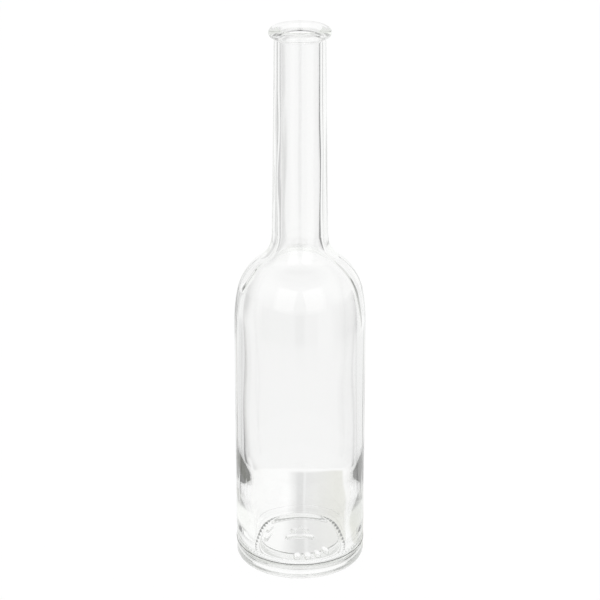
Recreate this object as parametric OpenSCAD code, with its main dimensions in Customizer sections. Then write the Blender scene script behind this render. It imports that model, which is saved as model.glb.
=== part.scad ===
// Long-necked liqueur bottle of clear glass, blown in a mould as one piece.
// It stands on z = 0 with its axis on the z axis. All sizes are in millimetres.

/* [Body] */
// Overall height, from the foot to the top of the lip
total_h = 188.2; // [176:0.1:240]
// Outer diameter of the straight body
body_d = 44; // [40:0.5:52]
// Height at which the body starts to curve in towards the shoulder
shoulder_z = 87; // [72:0.5:94]

/* [Shoulder] */
// Radius of the long, slow curve that leaves the straight body
slow_r = 60; // [45:1:90]
// Angle that the slow curve turns through before the round shoulder takes over
slow_angle = 11.3; // [4:0.1:15]
// Outer radius of the round shoulder
round_r = 17.3; // [14:0.1:20]
// Outer radius of the hollow curve between the shoulder and the neck
root_r = 11.2; // [7:0.1:14]

/* [Neck] */
// Outer diameter of the neck just under the lip
neck_top_d = 16.6; // [16:0.1:17.4]
// Angle by which the outside of the neck widens downwards
neck_slope = 0.79; // [0:0.01:1.2]
// Angle by which the inside of the neck widens below the cork
throat_slope = 0.3; // [0:0.01:0.6]

/* [Mouth] */
// Outer diameter of the rounded lip
lip_d = 20.3; // [19.5:0.1:23]
// Height of the rounded lip
lip_h = 3.1; // [2.2:0.1:3.6]
// Straight bore that takes the cork
cork_d = 12.5; // [11.5:0.1:13]
// Length of the straight cork bore
cork_l = 18; // [12:0.5:26]
// Height of the cone that leads into the cork bore
lead_h = 1.6; // [0.6:0.1:3]
// Width by which that cone opens on each side
lead_w = 0.45; // [0.2:0.05:0.7]
// Width of the level ring on top of the lip
rim_w = 1.3; // [0.1:0.1:1.6]
// Radius of the small hollow between the neck and the underside of the lip
collar_r = 0.5; // [0.2:0.1:0.8]

/* [Walls] */
// Glass thickness of the upper body and the shoulder
wall = 2.85; // [2:0.05:3.5]
// Glass thickness low in the body, where the glass settled
low_wall = 3.6; // [3.5:0.05:4.6]
// Height at which the settled glass starts to thin upwards
settle_z = 28; // [22:0.5:40]
// Height over which the wall goes from settled to thin
settle_h = 13; // [6:0.5:20]
// Glass thickness of the wall where it meets the inside floor
base_wall = 5.2; // [4.6:0.1:5.6]

/* [Base] */
// Rise of the underside from the foot to its centre
push_up = 5.2; // [2:0.1:6]
// Glass thickness at the centre of the base
base_t = 4.3; // [3.5:0.1:6]
// Height of the lowest ring of the inside floor
floor_z = 3.9; // [3.6:0.1:5]
// Inside radius between the wall and the floor
inner_heel_r = 2.5; // [1.5:0.1:3]
// Outside radius between the body and the foot
heel_r = 2; // [0.8:0.1:2.2]
// Width of the flat ring that the bottle stands on
foot_w = 4.8; // [4:0.1:5.6]

/* [Mould marks] */
// Height of the ring where the body mould met the bottom plate
plate_z = 6.2; // [5:0.1:9]
// Radius of the fine bead along that ring
plate_bead_r = 0.15; // [0.05:0.01:0.3]
// Number of grip notches round the foot
notches = 60; // [24:4:72]
// Width of each grip notch
notch_w = 0.7; // [0.3:0.05:0.9]
// Depth of each grip notch
notch_depth = 0.15; // [0.05:0.05:0.5]
// Plain part of the foot ring between its inner edge and the notches
plain_w = 2; // [1:0.1:3]
// Height by which the marks under the base stand out
mark_h = 0.6; // [0.15:0.05:0.7]
// Diameter of each round pip
pip_d = 2; // [0.8:0.1:2.6]
// Radius of the ring on which the rows of pips lie
pip_ring_r = 10.6; // [8:0.1:12]
// Angle from one pip to the next
pip_pitch = 17; // [15:1:24]
// Number of pips in the long row
long_row = 4; // [1:1:6]
// Direction of the middle of the long row, counted from the right
long_turn = -69; // [-100:1:-50]
// Number of pips in the short row
short_row = 2; // [1:1:3]
// Direction of the middle of the short row
short_turn = 176; // [150:1:200]
// Length of the bar across the base
bar_l = 9; // [4:0.5:12]
// Width of that bar
bar_w = 1.1; // [0.6:0.1:2]
// Distance of the bar in front of the middle
bar_front = 3.5; // [0:0.1:5]
// Distance of the two loose pips behind the bar
pair_back = 2.4; // [2:0.1:4]
// Distance between the two loose pips
pair_gap = 4; // [3:0.1:7]

/* [Hidden] */

$fn = 96;
// Largest gap between a curve and the straight steps that follow it
SAG = 0.008;
// Steps on each curve along which the wall grows thicker
WALL_STEPS = 16;
// Steps on each dome of the base
DOME_STEPS = 24;
// Smallest rounding that is left between the mouth and the rim
LEAST_ROUND = 0.2;
// How deep a mark is rooted in the glass that carries it
ROOT = 1;
// How far a cutter runs past the face that it opens
PAST = 1;

body_r = body_d / 2;
foot_out_r = body_r - heel_r;
foot_in_r = foot_out_r - foot_w;
inner_r = body_r - wall;
heel_top_z = floor_z + inner_heel_r;
floor_r = body_r - base_wall - inner_heel_r;
floor_rise = push_up + base_t - floor_z;
cork_r = cork_d / 2;
lip_bead_r = lip_h / 2;
lip_centre = [lip_d / 2 - lip_bead_r, total_h - lip_bead_r];
mouth_r = cork_r + lead_w;
mouth_round_r = max(LEAST_ROUND, lip_centre.x - rim_w - mouth_r);
cork_top_z = total_h - mouth_round_r - lead_h;
cork_low = [cork_r, cork_top_z - cork_l];

// The small hollow under the lip touches the side of the neck and the lip's own curve
collar_x = neck_top_d / 2 + collar_r;
collar_over = max(0, collar_x - lip_centre.x);
collar_down = sqrt(pow(lip_bead_r + collar_r, 2) - pow(collar_over, 2));
collar_turn = atan2(-collar_down, collar_over);
collar_centre = [collar_x, lip_centre.y - collar_down];
neck_top = [neck_top_d / 2, collar_centre.y];

// Steps that keep an arc within SAG of its true curve
function arc_steps(r, sweep) = max(2, ceil(abs(sweep) / (2 * acos(1 - min(1, SAG / r)))));

// Points along an arc round a centre, between two angles in degrees
function arc(centre, r, from, to) =
    let (steps = arc_steps(r, to - from))
    [for (i = [0:steps])
        let (a = from + (to - from) * i / steps)
        centre + r * [cos(a), sin(a)]];

// A smooth fall from 1 to 0 as t goes from 0 to 1, level at both ends
function ease(t) = (1 + cos(180 * min(1, max(0, t)))) / 2;

// Outline from the straight body to the neck: the slow curve, the round shoulder
// and the hollow root, which meets the sloping side of the neck without a corner
function shoulder(r_body, r_slow, r_round, r_root, top, slope) =
    let (
        slow_c = [r_body - r_slow, shoulder_z],
        round_c = slow_c + (r_slow - r_round) * [cos(slow_angle), sin(slow_angle)],
        along = [-sin(slope), cos(slope)],
        out = [cos(slope), sin(slope)],
        start = top + r_root * out - round_c,
        reach = r_round + r_root,
        back = start * along,
        rise = sqrt(back * back - start * start + reach * reach) - back,
        root_c = round_c + start + rise * along,
        meet = atan2(root_c.y - round_c.y, root_c.x - round_c.x)
    )
    concat(
        arc(slow_c, r_slow, 0, slow_angle),
        arc(round_c, r_round, slow_angle, meet),
        arc(root_c, r_root, 180 + meet, 180 + slope)
    );

// A dome from the axis out to a radius, on a level foot, in steps of equal turn
function dome(r, rise, foot) =
    [for (i = [0:DOME_STEPS])
        let (a = 90 * i / DOME_STEPS)
        [r * sin(a), foot + rise * cos(a)]];

// The same dome from its outer edge back to the axis
function dome_back(r, rise, foot) =
    [for (i = [0:DOME_STEPS])
        let (a = 90 * i / DOME_STEPS)
        [r * cos(a), foot + rise * sin(a)]];

// Inside radius of the body at a height: the glass settled low down, and more so by the floor
function inside_r(z) =
    inner_r
    - (low_wall - wall) * ease((z - settle_z) / settle_h)
    - (base_wall - low_wall) * ease((z - heel_top_z) / (settle_z - heel_top_z));

// The blown form as if it were solid glass
module outer_form() {
    rotate_extrude()
        polygon(concat(
            dome(foot_in_r, push_up, 0),
            arc([foot_out_r, heel_r], heel_r, -90, 0),
            arc([body_r, plate_z], plate_bead_r, -90, 90),
            shoulder(body_r, slow_r, round_r, root_r, neck_top, neck_slope),
            arc(collar_centre, collar_r, 180, 180 + collar_turn),
            arc(lip_centre, lip_bead_r, collar_turn, 90),
            [[0, total_h]]
        ));
}

// Everything that the bottle holds, from the floor to the open mouth
module cavity() {
    rotate_extrude()
        polygon(concat(
            dome(floor_r, floor_rise, floor_z),
            arc([floor_r, heel_top_z], inner_heel_r, -90, 0),
            [for (i = [1:WALL_STEPS])
                let (z = heel_top_z + (settle_z - heel_top_z) * i / WALL_STEPS)
                [inside_r(z), z]],
            [for (i = [1:WALL_STEPS])
                let (z = settle_z + settle_h * i / WALL_STEPS)
                [inside_r(z), z]],
            shoulder(inner_r, slow_r - wall, round_r - wall, root_r + wall, cork_low, throat_slope),
            [cork_low, [cork_r, cork_top_z], [mouth_r, cork_top_z + lead_h]],
            arc([mouth_r + mouth_round_r, total_h - mouth_round_r], mouth_round_r, 180, 90),
            [[mouth_r + mouth_round_r, total_h + PAST], [0, total_h + PAST]]
        ));
}

// Radial notches in the outer part of the foot ring, which grip the table
module foot_notches() {
    for (i = [0:notches - 1])
        rotate([0, 0, 360 * i / notches])
            translate([foot_in_r + plain_w, -notch_w / 2, -PAST])
                cube([body_r - foot_in_r, notch_w, notch_depth + PAST]);
}

// A layer of glass that follows the underside and stands out below it
module mark_layer() {
    rotate_extrude()
        polygon(concat(
            dome(foot_in_r, push_up, -mark_h),
            dome_back(foot_in_r, push_up, ROOT)
        ));
}

// Upright posts of a row of pips, spread evenly round a direction
module pip_row(count, turn) {
    for (i = [0:count - 1])
        rotate([0, 0, turn + (i - (count - 1) / 2) * pip_pitch])
            translate([pip_ring_r, 0, 0])
                cylinder(d = pip_d, h = push_up + ROOT);
}

// Upright posts of the marks' outlines: two rows of pips, a bar, and a loose pair behind it
module mark_posts() {
    post_h = push_up + ROOT;
    pip_row(long_row, long_turn);
    pip_row(short_row, short_turn);
    for (side = [-1, 1])
        translate([side * pair_gap / 2, pair_back - bar_front, 0])
            cylinder(d = pip_d, h = post_h);
    translate([-bar_l / 2, -bar_front - bar_w / 2, 0])
        cube([bar_l, bar_w, post_h]);
}

// The plain raised marks under the base
module base_marks() {
    intersection() {
        mark_layer();
        mark_posts();
    }
}

// The whole bottle, one piece of clear glass
module bottle() {
    color([0.84, 0.91, 0.89, 0.5])
        difference() {
            union() {
                outer_form();
                base_marks();
            }
            cavity();
            foot_notches();
        }
}

bottle();
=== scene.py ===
"""Long-necked liqueur bottle of clear glass, dressed for a plain white studio.

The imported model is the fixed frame. The bottle here is one closed skin of glass, inside and outside in a
single grid, with the uneven inner wall, the mould marks and the fire-polished lip that the plain solid lacks.
"""

import logging
import math
from dataclasses import dataclass, field
from enum import Enum

import bpy
import numpy as np
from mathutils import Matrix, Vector


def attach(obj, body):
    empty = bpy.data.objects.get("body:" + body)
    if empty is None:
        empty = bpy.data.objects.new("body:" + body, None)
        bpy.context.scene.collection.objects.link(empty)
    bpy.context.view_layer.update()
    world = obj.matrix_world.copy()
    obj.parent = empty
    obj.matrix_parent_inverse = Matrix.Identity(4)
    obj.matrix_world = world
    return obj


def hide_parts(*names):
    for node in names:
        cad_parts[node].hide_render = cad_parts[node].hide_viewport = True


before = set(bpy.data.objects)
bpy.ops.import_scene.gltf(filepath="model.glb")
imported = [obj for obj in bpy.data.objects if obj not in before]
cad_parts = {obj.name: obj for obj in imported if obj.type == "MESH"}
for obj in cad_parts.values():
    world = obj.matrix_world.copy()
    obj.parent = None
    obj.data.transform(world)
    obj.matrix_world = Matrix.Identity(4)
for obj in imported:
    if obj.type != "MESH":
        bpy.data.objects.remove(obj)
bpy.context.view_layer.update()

log = logging.getLogger("bottle")

MM = 0.001
# How close to a corner the first ring of a straight stretch lies
CORNER = 0.08 * MM


class Skin(Enum):
    """Which face of the glass wall a ring of the grid lies on."""

    UNDERSIDE = 0
    OUTSIDE = 1
    LIP = 2
    INSIDE = 3


def ease(t: np.ndarray) -> np.ndarray:
    """A smooth fall from 1 to 0 while t goes from 0 to 1, level at both ends.

    Args:
        t: Values of any shape; those outside 0 to 1 are held at the ends.

    Returns:
        Half of one plus the cosine of half a turn times t.
    """
    return (1 + np.cos(np.pi * np.clip(t, 0, 1))) / 2


def dome(t: np.ndarray) -> np.ndarray:
    """A quarter of a circle that falls from 1 to 0 while t goes from 0 to 1, level at the start and upright at the end.

    Args:
        t: Values of any shape; those outside 0 to 1 are held at the ends.

    Returns:
        The square root of one minus t squared.
    """
    return np.sqrt(1 - np.clip(t, 0, 1) ** 2)


def bump(distance: np.ndarray, width: float) -> np.ndarray:
    """A smooth hill of height 1 at distance 0 that ends at the given width.

    Args:
        distance: Distance from the crest, of either sign.
        width: Distance at which the hill has died away.

    Returns:
        The height of the hill, from 0 to 1.
    """
    return ease(np.abs(distance) / width)


def arc(centre: tuple[float, float], radius: float, start: float, end: float, steps: int) -> np.ndarray:
    """Points of an arc: the centre plus the radius times cosine and sine of an evenly growing angle.

    Args:
        centre: Radius and height of the arc's centre.
        radius: Radius of the arc.
        start: First angle, in degrees.
        end: Last angle, in degrees.
        steps: Number of steps between them.

    Returns:
        An array of steps + 1 points, each a radius and a height.
    """
    angle = np.radians(np.linspace(start, end, steps + 1))
    return np.stack([centre[0] + radius * np.cos(angle), centre[1] + radius * np.sin(angle)], axis=1)


def line(start: tuple[float, float], end: tuple[float, float], steps: int) -> np.ndarray:
    """Evenly spaced points from start to end, and one more close to each end, where it keeps the corner crisp.

    Args:
        start: Radius and height of the first point.
        end: Radius and height of the last point.
        steps: Number of steps between them.

    Returns:
        An array of steps + 3 points.
    """
    length = math.dist(start, end)
    share = np.linspace(0, 1, steps + 1)
    close = min(CORNER, length / steps / 3) / length
    share = np.sort(np.append(share, [close, 1 - close]))[:, None]
    return np.array(start) * (1 - share) + np.array(end) * share


@dataclass
class BottleShape:
    """Sizes of the blown form, in metres, as the solid has them."""

    height: float = 188.2 * MM
    body_r: float = 22.0 * MM
    shoulder_z: float = 87.0 * MM
    slow_r: float = 60.0 * MM
    slow_angle: float = 11.3
    round_r: float = 17.3 * MM
    root_r: float = 11.2 * MM
    neck_top_r: float = 8.3 * MM
    neck_slope: float = 0.79
    throat_slope: float = 0.3
    lip_r: float = 10.15 * MM
    lip_h: float = 3.1 * MM
    collar_r: float = 0.5 * MM
    cork_r: float = 6.25 * MM
    cork_l: float = 18.0 * MM
    lead_h: float = 1.6 * MM
    lead_w: float = 0.45 * MM
    rim_w: float = 1.3 * MM
    wall: float = 2.85 * MM
    low_wall: float = 3.6 * MM
    settle_z: float = 28.0 * MM
    settle_h: float = 13.0 * MM
    base_wall: float = 5.2 * MM
    foot_w: float = 4.8 * MM
    push_up: float = 5.2 * MM
    base_t: float = 4.3 * MM
    floor_z: float = 3.9 * MM
    inner_heel_r: float = 2.5 * MM
    heel_r: float = 2.0 * MM
    plate_z: float = 6.2 * MM
    plate_bead_r: float = 0.12 * MM

    @property
    def foot_out_r(self) -> float:
        """Outer radius of the flat foot ring."""
        return self.body_r - self.heel_r

    @property
    def punt_r(self) -> float:
        """Radius of the hollow under the base, where the flat foot ring starts."""
        return self.foot_out_r - self.foot_w

    @property
    def heel_top_z(self) -> float:
        """Height at which the inner heel meets the wall."""
        return self.floor_z + self.inner_heel_r

    @property
    def floor_r(self) -> float:
        """Radius at which the inside floor meets the inner heel."""
        return self.body_r - self.base_wall - self.inner_heel_r

    def inside_r(self, z: np.ndarray) -> np.ndarray:
        """Inside radius of the body. The wall thickens where the glass settled, and from there on down to the floor.

        Each thickening is its depth times a smooth fall from 1 to 0 over its height.

        Args:
            z: Heights, in metres.

        Returns:
            The radii.
        """
        low = (self.low_wall - self.wall) * ease((z - self.settle_z) / self.settle_h)
        base = (self.base_wall - self.low_wall) * ease((z - self.heel_top_z) / (self.settle_z - self.heel_top_z))
        return self.body_r - self.wall - low - base

    @property
    def lip_bead_r(self) -> float:
        """Radius of the rounded lip's section."""
        return self.lip_h / 2

    @property
    def lip_centre_r(self) -> float:
        """Radius of the ring along the middle of the rounded lip."""
        return self.lip_r - self.lip_bead_r

    @property
    def mouth_r(self) -> float:
        """Radius at the top of the lead-in cone."""
        return self.cork_r + self.lead_w

    @property
    def mouth_round_r(self) -> float:
        """Radius of the rounding between the mouth and the rim."""
        return self.lip_centre_r - self.rim_w - self.mouth_r

    @property
    def cork_top_z(self) -> float:
        """Height of the top of the straight cork bore."""
        return self.height - self.mouth_round_r - self.lead_h

    def shoulder(self, inset: float, top: tuple[float, float], slope: float, steps: tuple[int, int, int]) -> np.ndarray:
        """Slow curve, round shoulder and hollow root, each tangent to the next and to the neck's straight side.

        The root's centre lies where a line parallel to the neck's side, one root radius out, is as far from the
        shoulder's centre as both radii together.

        Args:
            inset: Distance inward from the outside, 0 for the outside itself.
            top: A point of the neck's straight side.
            slope: Angle by which that side widens downwards, in degrees.
            steps: Steps on the slow curve, the shoulder and the root.

        Returns:
            The points from the straight body to the neck.
        """
        slow, round_, root = self.slow_r - inset, self.round_r - inset, self.root_r + inset
        turn, lean = math.radians(self.slow_angle), math.radians(slope)
        slow_c = np.array([self.body_r - inset - slow, self.shoulder_z])
        round_c = slow_c + (slow - round_) * np.array([math.cos(turn), math.sin(turn)])
        along = np.array([-math.sin(lean), math.cos(lean)])
        out = np.array([math.cos(lean), math.sin(lean)])
        start = np.array(top) + root * out - round_c
        back, reach = start @ along, round_ + root
        root_c = round_c + start + (math.sqrt(back * back - start @ start + reach * reach) - back) * along
        meet = math.degrees(math.atan2(root_c[1] - round_c[1], root_c[0] - round_c[0]))
        return np.concatenate([
            arc(tuple(slow_c), slow, 0, self.slow_angle, steps[0])[:-1],
            arc(tuple(round_c), round_, self.slow_angle, meet, steps[1])[:-1],
            arc(tuple(root_c), root, 180 + meet, 180 + slope, steps[2]),
        ])


@dataclass(frozen=True)
class Swell:
    """A place where the inner wall stands further in: a smooth hill round a turn and a height."""

    turn: float
    height: float
    width: float
    reach: float
    depth: float


@dataclass
class GlassBottle:
    """The whole bottle: one closed skin of glass, built as a grid of rings from the underside to the inside floor."""

    shape: BottleShape = field(default_factory=BottleShape)
    segments: int = 300
    notches: int = 60
    notch_w: float = 0.7 * MM
    notch_depth: float = 0.15 * MM
    plain_w: float = 2.0 * MM
    mark_h: float = 0.6 * MM
    pip_r: float = 1.0 * MM
    pip_ring_r: float = 10.6 * MM
    rows: tuple[tuple[int, float], ...] = ((4, -69.0), (2, 176.0))
    pip_pitch: float = 17.0
    bar_l: float = 9.0 * MM
    bar_w: float = 1.1 * MM
    bar_y: float = -3.5 * MM
    pair_back: float = 2.4 * MM
    pair_gap: float = 4.0 * MM
    seam_h: float = 0.08 * MM
    seam_w: float = 0.5 * MM
    inner_wave: float = 0.22 * MM
    outer_wave: float = 0.03 * MM
    drawn_wave: float = 0.16 * MM
    seed: int = 7
    swells: tuple[Swell, ...] = (
        Swell(180, 30 * MM, 50, 12 * MM, 0.4 * MM),
        Swell(-12, 98 * MM, 8, 14 * MM, 0.6 * MM),
        Swell(190, 103 * MM, 9, 5 * MM, 1.3 * MM),
    )

    def profile(self) -> tuple[np.ndarray, np.ndarray]:
        """The section of the glass, from the underside's centre out, up, over the lip and down to the floor's centre.

        Returns:
            The points, each a radius and a height, and the Skin of each as a whole number.
        """
        s = self.shape
        r = np.sin(np.linspace(0, np.pi / 2, 57))[1:] * s.punt_r
        under = np.stack([r, s.push_up * dome(r / s.punt_r)], axis=1)
        lip_c = (s.lip_centre_r, s.height - s.lip_bead_r)
        across = s.neck_top_r + s.collar_r - lip_c[0]
        down = math.sqrt((s.lip_bead_r + s.collar_r) ** 2 - across ** 2)
        collar_c = (s.neck_top_r + s.collar_r, lip_c[1] - down)
        meet = math.degrees(math.atan2(-down, across))
        neck_top = (s.neck_top_r, collar_c[1])
        outside_shoulder = s.shoulder(0, neck_top, s.neck_slope, (6, 14, 14))
        outside = np.concatenate([
            line((s.punt_r, 0), (s.foot_out_r, 0), 6)[1:-1],
            arc((s.foot_out_r, s.heel_r), s.heel_r, -90, 0, 8),
            line((s.body_r, s.heel_r), (s.body_r, s.plate_z - s.plate_bead_r), 4)[1:-1],
            arc((s.body_r, s.plate_z), s.plate_bead_r, -90, 90, 4),
            line((s.body_r, s.plate_z + s.plate_bead_r), (s.body_r, s.shoulder_z), 14)[1:-1],
            outside_shoulder,
            line(tuple(outside_shoulder[-1]), neck_top, 12)[1:-1],
            arc(collar_c, s.collar_r, 180, 180 + meet, 5)[:-1],
        ])
        cork_low = (s.cork_r, s.cork_top_z - s.cork_l)
        inside_shoulder = s.shoulder(s.wall, cork_low, s.throat_slope, (6, 12, 12))
        lip = np.concatenate([
            arc(lip_c, s.lip_bead_r, meet, 90, 16),
            arc((s.mouth_r + s.mouth_round_r, s.height - s.mouth_round_r), s.mouth_round_r, 90, 180, 8),
            line((s.mouth_r, s.cork_top_z + s.lead_h), (s.cork_r, s.cork_top_z), 3)[1:],
        ])
        heights = np.linspace(s.shoulder_z, s.heel_top_z, 34)[1:-1]
        floor = np.sin(np.linspace(np.pi / 2, 0, 17))[:-1] * s.floor_r
        rise = s.push_up + s.base_t - s.floor_z
        inside = np.concatenate([
            line((s.cork_r, s.cork_top_z), cork_low, 5)[1:],
            line(cork_low, tuple(inside_shoulder[-1]), 12)[1:-1],
            inside_shoulder[::-1],
            np.stack([s.inside_r(heights), heights], axis=1),
            arc((s.floor_r, s.heel_top_z), s.inner_heel_r, 0, -90, 8)[:-1],
            np.stack([floor, s.floor_z + rise * dome(floor / s.floor_r)], axis=1),
        ])
        points = np.concatenate([under, outside, lip, inside])
        skins = [Skin.UNDERSIDE] * len(under) + [Skin.OUTSIDE] * len(outside) + [Skin.LIP] * len(lip)
        skins += [Skin.INSIDE] * len(inside)
        return points, np.array([skin.value for skin in skins])

    def waves(self, turn: np.ndarray, z: np.ndarray, orders: range, rng: np.random.Generator) -> np.ndarray:
        """Uneven glass: a sum of cosines round the bottle, each drifting and beating slowly along its height.

        Args:
            turn: Angle round the bottle, in radians.
            z: Height, in metres.
            orders: How many waves each cosine makes round the bottle.
            rng: Seeded source of the phases.

        Returns:
            Values of about -1 to 1.
        """
        total = np.zeros(np.broadcast(turn, z).shape)
        for order in orders:
            phase, drift, pitch, offset = rng.uniform(0, 2 * np.pi), rng.uniform(-14, 14), rng.uniform(25, 70), \
                rng.uniform(0, 2 * np.pi)
            total += np.cos(order * turn + phase + drift * z) * np.cos(pitch * z * 2 * np.pi / 2 + offset) / order
        return total / sum(1 / order for order in orders)

    def marks(self, x: np.ndarray, y: np.ndarray) -> np.ndarray:
        """Mask of the plain raised marks under the base: a row of pips, a bar and a pair of pips behind it.

        Args:
            x: Distance to the right of the axis.
            y: Distance behind the axis.

        Returns:
            1 on a mark and 0 off it, with soft edges.
        """
        edge = 0.25 * MM
        mask = np.zeros(x.shape)
        turns = [math.radians(turn + (i - (count - 1) / 2) * self.pip_pitch) for count, turn in self.rows
                 for i in range(count)]
        centres = [(self.pip_ring_r * math.cos(turn), self.pip_ring_r * math.sin(turn)) for turn in turns]
        centres += [(side * self.pair_gap / 2, self.bar_y + self.pair_back) for side in (-1, 1)]
        for cx, cy in centres:
            mask = np.maximum(mask, ease((np.hypot(x - cx, y - cy) - self.pip_r + edge) / edge))
        bar = np.maximum(np.abs(x) - self.bar_l / 2, np.abs(y - self.bar_y) - self.bar_w / 2)
        return np.maximum(mask, ease((bar + edge) / edge))

    def mesh(self) -> bpy.types.Mesh:
        """The grid of rings by segments, moved by the foot notches, marks, seams and waves, and closed at both ends.

        Returns:
            The finished mesh, with outward normals and smooth faces.
        """
        s = self.shape
        points, skins = self.profile()
        rings, segments = len(points), self.segments
        turn = np.arange(segments)[None, :] * 2 * np.pi / segments
        r, z = np.repeat(points[:, :1], segments, axis=1), np.repeat(points[:, 1:], segments, axis=1)
        skin = skins[:, None]
        rng = np.random.default_rng(self.seed)
        start = s.punt_r + self.plain_w
        pitch = 2 * np.pi / self.notches
        across = ((turn + pitch / 2) % pitch - pitch / 2) * r
        notch = bump(across, self.notch_w * 0.75) * np.clip((r - start) / (0.4 * MM), 0, 1) * (z < s.heel_r)
        z = z + np.where(skin == Skin.OUTSIDE.value, self.notch_depth * notch * (1 - z / s.heel_r), 0)
        marks = self.marks(r * np.cos(turn), r * np.sin(turn))
        z = z - np.where(skin == Skin.UNDERSIDE.value, self.mark_h * marks, 0)
        off_seam = np.abs((turn + np.pi / 2) % np.pi - np.pi / 2) * r
        on_wall = (skin == Skin.OUTSIDE.value) & (z > s.plate_z + 1 * MM)
        r = r + np.where(on_wall, self.seam_h * bump(off_seam, self.seam_w), 0)
        outer = self.waves(turn, z, range(2, 7), rng)
        fade = ease((z - 160 * MM) / (20 * MM)) * (1 - ease((z - s.plate_z) / (8 * MM)))
        r = r - np.where(on_wall, self.outer_wave * fade * (1 + outer), 0)
        inner = self.waves(turn, z, range(1, 6), rng)
        calm = ease((z - 100 * MM) / (30 * MM)) * (1 - ease((z - s.heel_top_z) / (6 * MM)))
        drawn = (1 - ease((z - 95 * MM) / (25 * MM))) * ease((z - 163 * MM) / (8 * MM))
        lines = self.waves(turn, z, range(3, 12), rng)
        r = r + np.where(skin == Skin.INSIDE.value, self.inner_wave * inner * calm + self.drawn_wave * lines * drawn, 0)
        for swell in self.swells:
            round_ = (turn - math.radians(swell.turn) + np.pi) % (2 * np.pi) - np.pi
            hill = bump(round_, math.radians(swell.width)) * bump(z - swell.height, swell.reach)
            r = r - np.where((skin == Skin.INSIDE.value) & (z > s.heel_top_z), swell.depth * hill, 0)
        verts = np.stack([r * np.cos(turn), r * np.sin(turn), z], axis=2).reshape(-1, 3)
        bottom = [[0, 0, s.push_up - self.mark_h]]
        top = [[0, 0, s.push_up + s.base_t]]
        verts = np.concatenate([verts, bottom, top])
        ring, seg = np.meshgrid(np.arange(rings - 1), np.arange(segments), indexing="ij")
        here, there = ring * segments + seg, ring * segments + (seg + 1) % segments
        quads = np.stack([here, there, there + segments, here + segments], axis=2).reshape(-1, 4)
        edge = np.arange(segments)
        low, high = rings * segments, rings * segments + 1
        caps = np.concatenate([
            np.stack([np.full(segments, low), (edge + 1) % segments, edge], axis=1),
            np.stack([np.full(segments, high), (rings - 1) * segments + edge,
                      (rings - 1) * segments + (edge + 1) % segments], axis=1),
        ])
        mesh = bpy.data.meshes.new("bottle_glass")
        mesh.from_pydata(verts.tolist(), [], quads.tolist() + caps.tolist())
        mesh.update()
        mesh.shade_smooth()
        return mesh

    def build(self, material: bpy.types.Material) -> bpy.types.Object:
        """Makes the glass piece in place of the plain solid.

        Args:
            material: The finish of the glass.

        Returns:
            The finished piece, which rides on the root body.
        """
        piece = bpy.data.objects.new("bottle_glass", self.mesh())
        bpy.context.scene.collection.objects.link(piece)
        piece.data.materials.append(material)
        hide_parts("bottle")
        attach(piece, "root")
        log.info("%s: %d vertices, %d faces", piece.name, len(piece.data.vertices), len(piece.data.polygons))
        return piece


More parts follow.
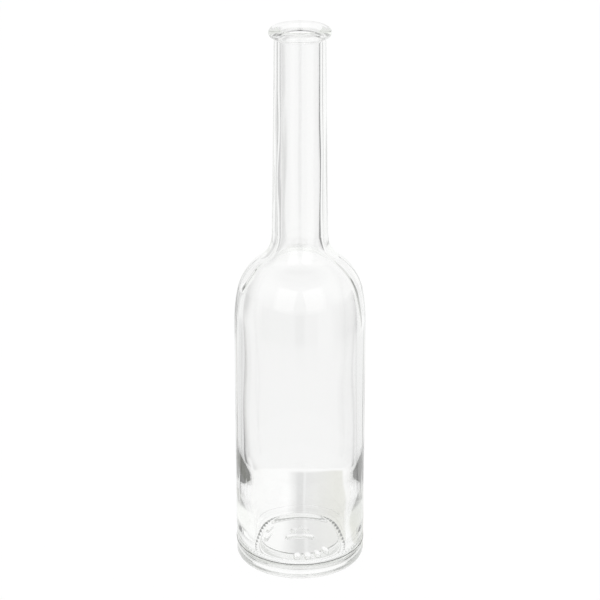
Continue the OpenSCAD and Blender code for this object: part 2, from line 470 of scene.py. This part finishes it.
@dataclass(frozen=True)
class ClearGlass:
    """Clear flint glass: nearly colourless, with the faint unevenness of a mould-blown skin."""

    ior: float = 1.52
    tint: tuple[float, float, float] = (1, 1, 1)
    body: tuple[float, float, float] = (0.984, 0.988, 0.980)
    density: float = 100.0
    roughness: float = 0.0
    ripple_scale: float = 90.0
    ripple_height: float = 0.02 * MM
    shade: float = 0.96
    ring_z: float = 6.2 * MM
    ring_h: float = 0.15 * MM
    ring_r: float = 21.5 * MM
    ring_shade_grey: float = 0.02
    trapped: float = 0.64
    trapped_low: tuple[float, float] = (4.0 * MM, 8.0 * MM)
    trapped_high: tuple[float, float] = (45.0 * MM, 60.0 * MM)
    reflections: float = 3.5
    bends: float = 11.5

    def ripples(self) -> bpy.types.ShaderNodeTree:
        """A node group: slow ripples stretched along the bottle, as a height.

        Returns:
            The group, with a Scale input and a Height output.
        """
        group = bpy.data.node_groups.new("glass_ripples", "ShaderNodeTree")
        group.interface.new_socket("Scale", in_out="INPUT", socket_type="NodeSocketFloat")
        group.interface.new_socket("Height", in_out="OUTPUT", socket_type="NodeSocketFloat")
        nodes, links = group.nodes, group.links
        inlet, outlet = nodes.new("NodeGroupInput"), nodes.new("NodeGroupOutput")
        place, stretch = nodes.new("ShaderNodeTexCoord"), nodes.new("ShaderNodeMapping")
        stretch.inputs["Scale"].default_value = (1, 1, 0.25)
        noise = nodes.new("ShaderNodeTexNoise")
        noise.inputs["Detail"].default_value = 1.0
        links.new(place.outputs["Object"], stretch.inputs["Vector"])
        links.new(stretch.outputs["Vector"], noise.inputs["Vector"])
        links.new(inlet.outputs["Scale"], noise.inputs["Scale"])
        links.new(noise.outputs["Fac"], outlet.inputs["Height"])
        return group

    def ring(self) -> bpy.types.ShaderNodeTree:
        """A node group: a mask over the height along the seam where the body mould met the plate, for the fine line of
        painted shade there.

        Returns:
            The group, with the inputs Height, Width and Radius, past which the line lies, and a Mask output, 1 on
            the line.
        """
        group = bpy.data.node_groups.new("plate_line_shade", "ShaderNodeTree")
        for name in ("Height", "Width", "Radius"):
            group.interface.new_socket(name, in_out="INPUT", socket_type="NodeSocketFloat")
        group.interface.new_socket("Mask", in_out="OUTPUT", socket_type="NodeSocketFloat")
        nodes, links = group.nodes, group.links
        inlet, outlet = nodes.new("NodeGroupInput"), nodes.new("NodeGroupOutput")
        place, split = nodes.new("ShaderNodeTexCoord"), nodes.new("ShaderNodeSeparateXYZ")
        steps = [nodes.new("ShaderNodeMath") for _ in range(4)]
        for step, operation in zip(steps, ("SUBTRACT", "ABSOLUTE", "DIVIDE", "SUBTRACT")):
            step.operation = operation
        links.new(place.outputs["Object"], split.inputs["Vector"])
        links.new(split.outputs["Z"], steps[0].inputs[0])
        links.new(inlet.outputs["Height"], steps[0].inputs[1])
        links.new(steps[0].outputs["Value"], steps[1].inputs[0])
        links.new(steps[1].outputs["Value"], steps[2].inputs[0])
        links.new(inlet.outputs["Width"], steps[2].inputs[1])
        steps[3].inputs[0].default_value = 1.6
        steps[3].use_clamp = True
        links.new(steps[2].outputs["Value"], steps[3].inputs[1])
        flat, out = nodes.new("ShaderNodeCombineXYZ"), nodes.new("ShaderNodeVectorMath")
        past, both = nodes.new("ShaderNodeMath"), nodes.new("ShaderNodeMath")
        out.operation = "LENGTH"
        past.operation = "GREATER_THAN"
        both.operation = "MULTIPLY"
        links.new(split.outputs["X"], flat.inputs["X"])
        links.new(split.outputs["Y"], flat.inputs["Y"])
        links.new(flat.outputs["Vector"], out.inputs[0])
        links.new(out.outputs["Value"], past.inputs[0])
        links.new(inlet.outputs["Radius"], past.inputs[1])
        links.new(steps[3].outputs["Value"], both.inputs[0])
        links.new(past.outputs["Value"], both.inputs[1])
        links.new(both.outputs["Value"], outlet.inputs["Mask"])
        return group

    def material(self) -> bpy.types.Material:
        """The glass material.

        Rays from lamps pass straight through, so that the floor gets no hard shadow. So do rays that have been
        reflected or bent many times inside the wall, where they would otherwise end as black patches; in the lower
        wall, between two heights, they come out dimmed to a grey, painted shade for the dark patches there.

        Returns:
            The material.
        """
        material = bpy.data.materials.new("clear_glass")
        material.use_nodes = True
        nodes, links = material.node_tree.nodes, material.node_tree.links
        glass, output = nodes["Principled BSDF"], nodes["Material Output"]
        line, shade_paint, facing = nodes.new("ShaderNodeGroup"), nodes.new("ShaderNodeMix"), nodes.new("ShaderNodeMath")
        line.node_tree = self.ring()
        line.inputs["Height"].default_value = self.ring_z
        line.inputs["Width"].default_value = self.ring_h
        line.inputs["Radius"].default_value = self.ring_r
        geometry = nodes.new("ShaderNodeNewGeometry")
        facing.operation, facing.use_clamp = "SUBTRACT", True
        # The plate line is painted near-black into the base colour of the outer face: painted shade for the dark line
        # that the parting bead shows.
        shade_paint.data_type = "RGBA"
        shade_paint.inputs["A"].default_value = (*self.tint, 1)
        shade_paint.inputs["B"].default_value = (self.ring_shade_grey, self.ring_shade_grey, self.ring_shade_grey, 1)
        links.new(line.outputs["Mask"], facing.inputs[0])
        links.new(geometry.outputs["Backfacing"], facing.inputs[1])
        links.new(facing.outputs["Value"], shade_paint.inputs["Factor"])
        links.new(shade_paint.outputs["Result"], glass.inputs["Base Color"])
        glass.inputs["Roughness"].default_value = self.roughness
        glass.inputs["IOR"].default_value = self.ior
        glass.inputs["Transmission Weight"].default_value = 1.0
        ripples, relief = nodes.new("ShaderNodeGroup"), nodes.new("ShaderNodeBump")
        ripples.node_tree = self.ripples()
        ripples.inputs["Scale"].default_value = self.ripple_scale
        relief.inputs["Distance"].default_value = self.ripple_height
        links.new(ripples.outputs["Height"], relief.inputs["Height"])
        links.new(relief.outputs["Normal"], glass.inputs["Normal"])
        path, clear = nodes.new("ShaderNodeLightPath"), nodes.new("ShaderNodeBsdfTransparent")
        lost, dimmed = nodes.new("ShaderNodeMix"), nodes.new("ShaderNodeMix")
        lost.data_type, dimmed.data_type = "RGBA", "RGBA"
        dimmed.inputs["A"].default_value = (1, 1, 1, 1)
        dimmed.inputs["B"].default_value = (self.trapped, self.trapped, self.trapped, 1)
        place, split, painted_shade_band = nodes.new("ShaderNodeTexCoord"), nodes.new("ShaderNodeSeparateXYZ"), nodes.new("ShaderNodeMath")
        painted_shade_band.operation = "MULTIPLY"
        links.new(place.outputs["Object"], split.inputs["Vector"])
        # Between trapped_low and trapped_high the trapped rays take the trapped grey: painted shade for the lower
        # wall's dark patches.
        for index, (start, end) in enumerate((self.trapped_low, self.trapped_high[::-1])):
            reach = nodes.new("ShaderNodeMapRange")
            reach.interpolation_type = "SMOOTHSTEP"
            reach.inputs["From Min"].default_value = start
            reach.inputs["From Max"].default_value = end
            links.new(split.outputs["Z"], reach.inputs["Value"])
            links.new(reach.outputs["Result"], painted_shade_band.inputs[index])
        links.new(painted_shade_band.outputs["Value"], dimmed.inputs["Factor"])
        links.new(dimmed.outputs["Result"], lost.inputs["A"])
        lost.inputs["B"].default_value = (self.shade, self.shade, self.shade, 1)
        links.new(path.outputs["Is Shadow Ray"], lost.inputs["Factor"])
        links.new(lost.outputs["Result"], clear.inputs["Color"])
        straight = path.outputs["Is Shadow Ray"]
        for depth, most in (("Glossy Depth", self.reflections), ("Ray Depth", self.bends)):
            deep, either = nodes.new("ShaderNodeMath"), nodes.new("ShaderNodeMath")
            deep.operation, either.operation = "GREATER_THAN", "MAXIMUM"
            deep.inputs[1].default_value = most
            links.new(path.outputs[depth], deep.inputs[0])
            links.new(straight, either.inputs[0])
            links.new(deep.outputs["Value"], either.inputs[1])
            straight = either.outputs["Value"]
        mix = nodes.new("ShaderNodeMixShader")
        links.new(straight, mix.inputs["Fac"])
        links.new(glass.outputs["BSDF"], mix.inputs[1])
        links.new(clear.outputs["BSDF"], mix.inputs[2])
        links.new(mix.outputs["Shader"], output.inputs["Surface"])
        depth = nodes.new("ShaderNodeVolumeAbsorption")
        depth.inputs["Color"].default_value = (*self.body, 1)
        depth.inputs["Density"].default_value = self.density
        links.new(depth.outputs["Volume"], output.inputs["Volume"])
        return material


@dataclass(frozen=True)
class Band:
    """One stop of the room's brightness, at a bearing in degrees clockwise from straight behind the bottle.

    Its yellow is the share of blue that it lacks.
    """

    bearing: float
    grey: float
    yellow: float = 0.0


@dataclass(frozen=True)
class SoftBox:
    """A large soft lamp in front of the bottle, to one side of the camera."""

    name: str
    bearing: float
    distance: float = 1.15
    height: float = 0.60
    width: float = 0.85
    length: float = 1.15
    power: float = 1.8

    def build(self) -> None:
        """Hangs the lamp so that it points at the middle of the bottle."""
        data = bpy.data.lights.new(self.name, "AREA")
        data.shape, data.size, data.size_y, data.energy = "RECTANGLE", self.width, self.length, self.power
        lamp = bpy.data.objects.new(self.name, data)
        turn = math.radians(self.bearing)
        lamp.location = (self.distance * math.sin(turn), self.distance * math.cos(turn), self.height)
        aim = Vector((0, 0, 0.1)) - lamp.location
        lamp.rotation_euler = aim.to_track_quat("-Z", "Y").to_euler()
        lamp.visible_camera = False
        bpy.context.scene.collection.objects.link(lamp)


@dataclass
class Studio:
    """White sweep, soft lamps and the camera of the photograph."""

    floor_size: float = 6.0
    floor_drop: float = 0.1 * MM
    floor_glow: float = 1.02
    floor_share: float = 0.96
    disc_from: float = 60.0 * MM
    disc_to: float = 64.0 * MM
    shade_reach: float = 58.0 * MM
    shade_soft: float = 3.0 * MM
    shade_width: float = 60.0 * MM
    table_from: float = 0.20
    table_to: float = 0.27
    camera_back: float = 660.1 * MM
    camera_up: float = 366.0 * MM
    camera_pitch: float = 22.35
    field_of_view: float = 16.0
    sensor: float = 36.0
    bands: tuple[Band, ...] = (
        Band(-180, 0.1), Band(-174, 0.15), Band(-169, 0.6), Band(-130, 0.6), Band(-112, 0.5), Band(-99, 0.9),
        Band(-80, 0.9), Band(-70, 0.55), Band(-56, 0.6), Band(-53, 0.95), Band(-37, 0.95), Band(-32, 0.7),
        Band(-22, 0.7), Band(-12, 1), Band(54, 1), Band(58, 0.25), Band(68, 0.25), Band(76, 0.5), Band(90, 0.45),
        Band(112, 0.45), Band(124, 0.9), Band(145, 0.9), Band(152, 0.6), Band(169, 0.6), Band(174, 0.15),
        Band(180, 0.1),
    )
    table: tuple[Band, ...] = (
        Band(-180, 0.82), Band(-80, 0.82), Band(-76, 0.5), Band(-66, 0.5), Band(-64, 0.3), Band(-58, 0.3),
        Band(-56, 0.85), Band(-36, 0.75), Band(-28, 0.93), Band(12, 0.93), Band(24, 0.9), Band(64, 0.86),
        Band(66, 0.3), Band(70, 0.3), Band(72, 0.7), Band(80, 0.82), Band(180, 0.82),
    )
    painted_shadow_stripes: tuple[Band, ...] = (
        Band(0, 1), Band(0.393, 1), Band(0.45, 0.84), Band(0.483, 0.73), Band(0.517, 0.73), Band(0.53, 0.84),
        Band(0.54, 0.84), Band(0.55, 0.78), Band(0.65, 0.8, 0.02), Band(0.833, 0.79, 0.06), Band(0.95, 0.79, 0.06),
        Band(1, 1),
    )
    sky: tuple[Band, ...] = (
        Band(-180, 0.85), Band(-58, 0.85), Band(-48, 0.95), Band(48, 0.95), Band(58, 0.85), Band(180, 0.85),
    )
    ceiling: tuple[Band, ...] = (Band(0, 1), Band(45, 0.9), Band(65, 0.4), Band(90, 0.3))
    boxes: tuple[SoftBox, ...] = (SoftBox("left_box", -150), SoftBox("right_box", 150))

    def ramp(self, tree: bpy.types.NodeTree, bands: tuple[Band, ...], low: float, high: float) -> bpy.types.Node:
        """A colour ramp over an angle in radians, with its stops at the bands.

        Args:
            tree: Where the nodes go.
            bands: The stops, in order.
            low: The angle at the ramp's start, in degrees.
            high: The angle at its end.

        Returns:
            The node that takes the angle, as the ramp's own first input's source, and the ramp.
        """
        scale, ramp = tree.nodes.new("ShaderNodeMapRange"), tree.nodes.new("ShaderNodeValToRGB")
        scale.inputs["From Min"].default_value = math.radians(low)
        scale.inputs["From Max"].default_value = math.radians(high)
        tree.links.new(scale.outputs["Result"], ramp.inputs["Fac"])
        elements = ramp.color_ramp.elements
        while len(elements) > 1:
            elements.remove(elements[-1])
        for index, band in enumerate(bands):
            spot = (band.bearing - low) / (high - low)
            element = elements[0] if index == 0 else elements.new(spot)
            element.position, element.color = spot, (band.grey, band.grey, band.grey * (1 - band.yellow), 1)
        return scale, ramp

    def room(self) -> bpy.types.ShaderNodeTree:
        """A node group: the brightness in a direction, by its bearing and its height.

        Returns:
            The group, with a Vector input and the outputs Sky, Room and Table: the walls and the ceiling, the floor
            far off, and the table.
        """
        group = bpy.data.node_groups.new("room_light", "ShaderNodeTree")
        group.interface.new_socket("Vector", in_out="INPUT", socket_type="NodeSocketVector")
        for name in ("Sky", "Room", "Table"):
            group.interface.new_socket(name, in_out="OUTPUT", socket_type="NodeSocketColor")
        nodes, links = group.nodes, group.links
        inlet, outlet = nodes.new("NodeGroupInput"), nodes.new("NodeGroupOutput")
        unit, split = nodes.new("ShaderNodeVectorMath"), nodes.new("ShaderNodeSeparateXYZ")
        unit.operation = "NORMALIZE"
        bearing, height, mix = nodes.new("ShaderNodeMath"), nodes.new("ShaderNodeMath"), nodes.new("ShaderNodeMix")
        bearing.operation, height.operation = "ARCTAN2", "ARCSINE"
        mix.data_type, mix.blend_type = "RGBA", "MULTIPLY"
        mix.inputs["Factor"].default_value = 1.0
        links.new(inlet.outputs["Vector"], unit.inputs[0])
        links.new(unit.outputs["Vector"], split.inputs["Vector"])
        links.new(split.outputs["X"], bearing.inputs[0])
        links.new(split.outputs["Y"], bearing.inputs[1])
        links.new(split.outputs["Z"], height.inputs[0])
        up_in, up_out = self.ramp(group, self.ceiling, 0, 90)
        links.new(height.outputs["Value"], up_in.inputs["Value"])
        links.new(up_out.outputs["Color"], mix.inputs["B"])
        links.new(mix.outputs["Result"], outlet.inputs["Sky"])
        for bands, target in ((self.sky, mix.inputs["A"]), (self.bands, outlet.inputs["Room"]),
                              (self.table, outlet.inputs["Table"])):
            round_in, round_out = self.ramp(group, bands, -180, 180)
            links.new(bearing.outputs["Value"], round_in.inputs["Value"])
            links.new(round_out.outputs["Color"], target)
        return group

    def floor(self, room: bpy.types.ShaderNodeTree) -> bpy.types.Object:
        """A pale floor that shows white and keeps a soft shadow. Only glass meets its other colours: a painted shadow
        of the bottle on the table behind it, grey bands of painted shade round the table, and past the white paper the
        room.

        Args:
            room: The group that gives the room's brightness.

        Returns:
            The floor.
        """
        half = self.floor_size / 2
        mesh = bpy.data.meshes.new("floor")
        low = -self.floor_drop
        corners = [(-half, -half, low), (half, -half, low), (half, half, low), (-half, half, low)]
        mesh.from_pydata(corners, [], [(0, 1, 2, 3)])
        floor = bpy.data.objects.new("floor", mesh)
        bpy.context.scene.collection.objects.link(floor)
        material = bpy.data.materials.new("white_floor")
        material.use_nodes = True
        nodes, links = material.node_tree.nodes, material.node_tree.links
        paper, output = nodes["Principled BSDF"], nodes["Material Output"]
        paper.inputs["Base Color"].default_value = (0.9, 0.9, 0.9, 1)
        paper.inputs["Roughness"].default_value = 0.9
        place = nodes.new("ShaderNodeTexCoord")
        light = nodes.new("ShaderNodeGroup")
        light.node_tree = room
        far = nodes.new("ShaderNodeVectorMath")
        far.operation = "LENGTH"
        links.new(place.outputs["Object"], light.inputs["Vector"])
        links.new(place.outputs["Object"], far.inputs[0])
        disc, blend, show, dim = (nodes.new("ShaderNodeMix") for _ in range(4))
        for mixer in (disc, blend, show, dim):
            mixer.data_type = "RGBA"
        disc.inputs["A"].default_value = (1, 1, 1, 1)
        show.inputs["B"].default_value = (1, 1, 1, 1)
        for mixer, low, high in ((disc, self.disc_from, self.disc_to), (blend, self.table_from, self.table_to)):
            past = nodes.new("ShaderNodeMapRange")
            past.interpolation_type = "SMOOTHSTEP"
            past.inputs["From Min"].default_value = low
            past.inputs["From Max"].default_value = high
            links.new(far.outputs["Value"], past.inputs["Value"])
            links.new(past.outputs["Result"], mixer.inputs["Factor"])
        # Behind the bottle and within shade_reach the white is multiplied by the stripes: a painted shadow of the
        # bottle on the table, seen only by glass.
        split, both = nodes.new("ShaderNodeSeparateXYZ"), nodes.new("ShaderNodeMath")
        both.operation = "MULTIPLY"
        links.new(place.outputs["Object"], split.inputs["Vector"])
        for index, (source, low, high) in enumerate((
                (far.outputs["Value"], self.shade_reach + self.shade_soft, self.shade_reach - self.shade_soft),
                (split.outputs["Y"], 0.0, self.shade_soft))):
            edge = nodes.new("ShaderNodeMapRange")
            edge.interpolation_type = "SMOOTHSTEP"
            edge.inputs["From Min"].default_value = low
            edge.inputs["From Max"].default_value = high
            links.new(source, edge.inputs["Value"])
            links.new(edge.outputs["Result"], both.inputs[index])
        across, painted_shadow_stripes = self.ramp(material.node_tree, self.painted_shadow_stripes, 0, 1)
        across.inputs["From Min"].default_value = -self.shade_width / 2
        across.inputs["From Max"].default_value = self.shade_width / 2
        links.new(split.outputs["X"], across.inputs["Value"])
        dim.blend_type = "MULTIPLY"
        links.new(both.outputs["Value"], dim.inputs["Factor"])
        links.new(painted_shadow_stripes.outputs["Color"], dim.inputs["B"])
        # Beyond the white disc the floor shows glass the table's bands: painted shade in darker sectors round the
        # bottle.
        links.new(light.outputs["Table"], disc.inputs["B"])
        links.new(disc.outputs["Result"], dim.inputs["A"])
        links.new(dim.outputs["Result"], blend.inputs["A"])
        links.new(light.outputs["Room"], blend.inputs["B"])
        path, glow, mix = nodes.new("ShaderNodeLightPath"), nodes.new("ShaderNodeEmission"), \
            nodes.new("ShaderNodeMixShader")
        glow.inputs["Strength"].default_value = self.floor_glow
        links.new(path.outputs["Is Camera Ray"], show.inputs["Factor"])
        links.new(blend.outputs["Result"], show.inputs["A"])
        links.new(show.outputs["Result"], glow.inputs["Color"])
        seen = path.outputs["Is Camera Ray"]
        for kind in ("Is Glossy Ray", "Is Transmission Ray"):
            either = nodes.new("ShaderNodeMath")
            either.operation = "MAXIMUM"
            links.new(seen, either.inputs[0])
            links.new(path.outputs[kind], either.inputs[1])
            seen = either.outputs["Value"]
        share = nodes.new("ShaderNodeMath")
        share.operation = "MULTIPLY"
        share.inputs[1].default_value = self.floor_share
        links.new(seen, share.inputs[0])
        links.new(share.outputs["Value"], mix.inputs["Fac"])
        links.new(paper.outputs["BSDF"], mix.inputs[1])
        links.new(glow.outputs["Emission"], mix.inputs[2])
        links.new(mix.outputs["Shader"], output.inputs["Surface"])
        floor.data.materials.append(material)
        return floor

    def world(self, room: bpy.types.ShaderNodeTree) -> None:
        """White where the camera looks. Glass and metal meet the white behind the bottle and the room round it.

        Args:
            room: The group that gives the room's brightness.
        """
        world = bpy.data.worlds.new("studio")
        bpy.context.scene.world = world
        world.use_nodes = True
        nodes, links = world.node_tree.nodes, world.node_tree.links
        dim, output = nodes["Background"], nodes["World Output"]
        dim.inputs["Strength"].default_value = 1.0
        place, light = nodes.new("ShaderNodeTexCoord"), nodes.new("ShaderNodeGroup")
        light.node_tree = room
        links.new(place.outputs["Generated"], light.inputs["Vector"])
        links.new(light.outputs["Sky"], dim.inputs["Color"])
        white, path, mix = nodes.new("ShaderNodeBackground"), nodes.new("ShaderNodeLightPath"), \
            nodes.new("ShaderNodeMixShader")
        white.inputs["Color"].default_value = (1, 1, 1, 1)
        links.new(path.outputs["Is Camera Ray"], mix.inputs["Fac"])
        links.new(dim.outputs["Background"], mix.inputs[1])
        links.new(white.outputs["Background"], mix.inputs[2])
        links.new(mix.outputs["Shader"], output.inputs["Surface"])

    def camera(self) -> bpy.types.Object:
        """The camera at the photograph's angle, level from side to side and without shift.

        Returns:
            The scene's camera.
        """
        data = bpy.data.cameras.new("camera")
        data.sensor_width = self.sensor
        data.lens = self.sensor / 2 / math.tan(math.radians(self.field_of_view / 2))
        camera = bpy.data.objects.new("camera", data)
        camera.location = (0, -self.camera_back, self.camera_up)
        camera.rotation_euler = (math.radians(90 - self.camera_pitch), 0, 0)
        bpy.context.scene.collection.objects.link(camera)
        bpy.context.scene.camera = camera
        return camera

    def build(self) -> None:
        """Makes the floor, the world, the lamps and the camera."""
        room = self.room()
        self.floor(room)
        self.world(room)
        for box in self.boxes:
            box.build()
        self.camera()
        bpy.context.scene.view_settings.view_transform = "Standard"


def main() -> None:
    """Builds the bottle and the studio in order and reports each piece."""
    logging.basicConfig(level=logging.INFO, format="%(name)s: %(message)s")
    GlassBottle().build(ClearGlass().material())
    Studio().build()


if __name__ == "__main__":
    main()
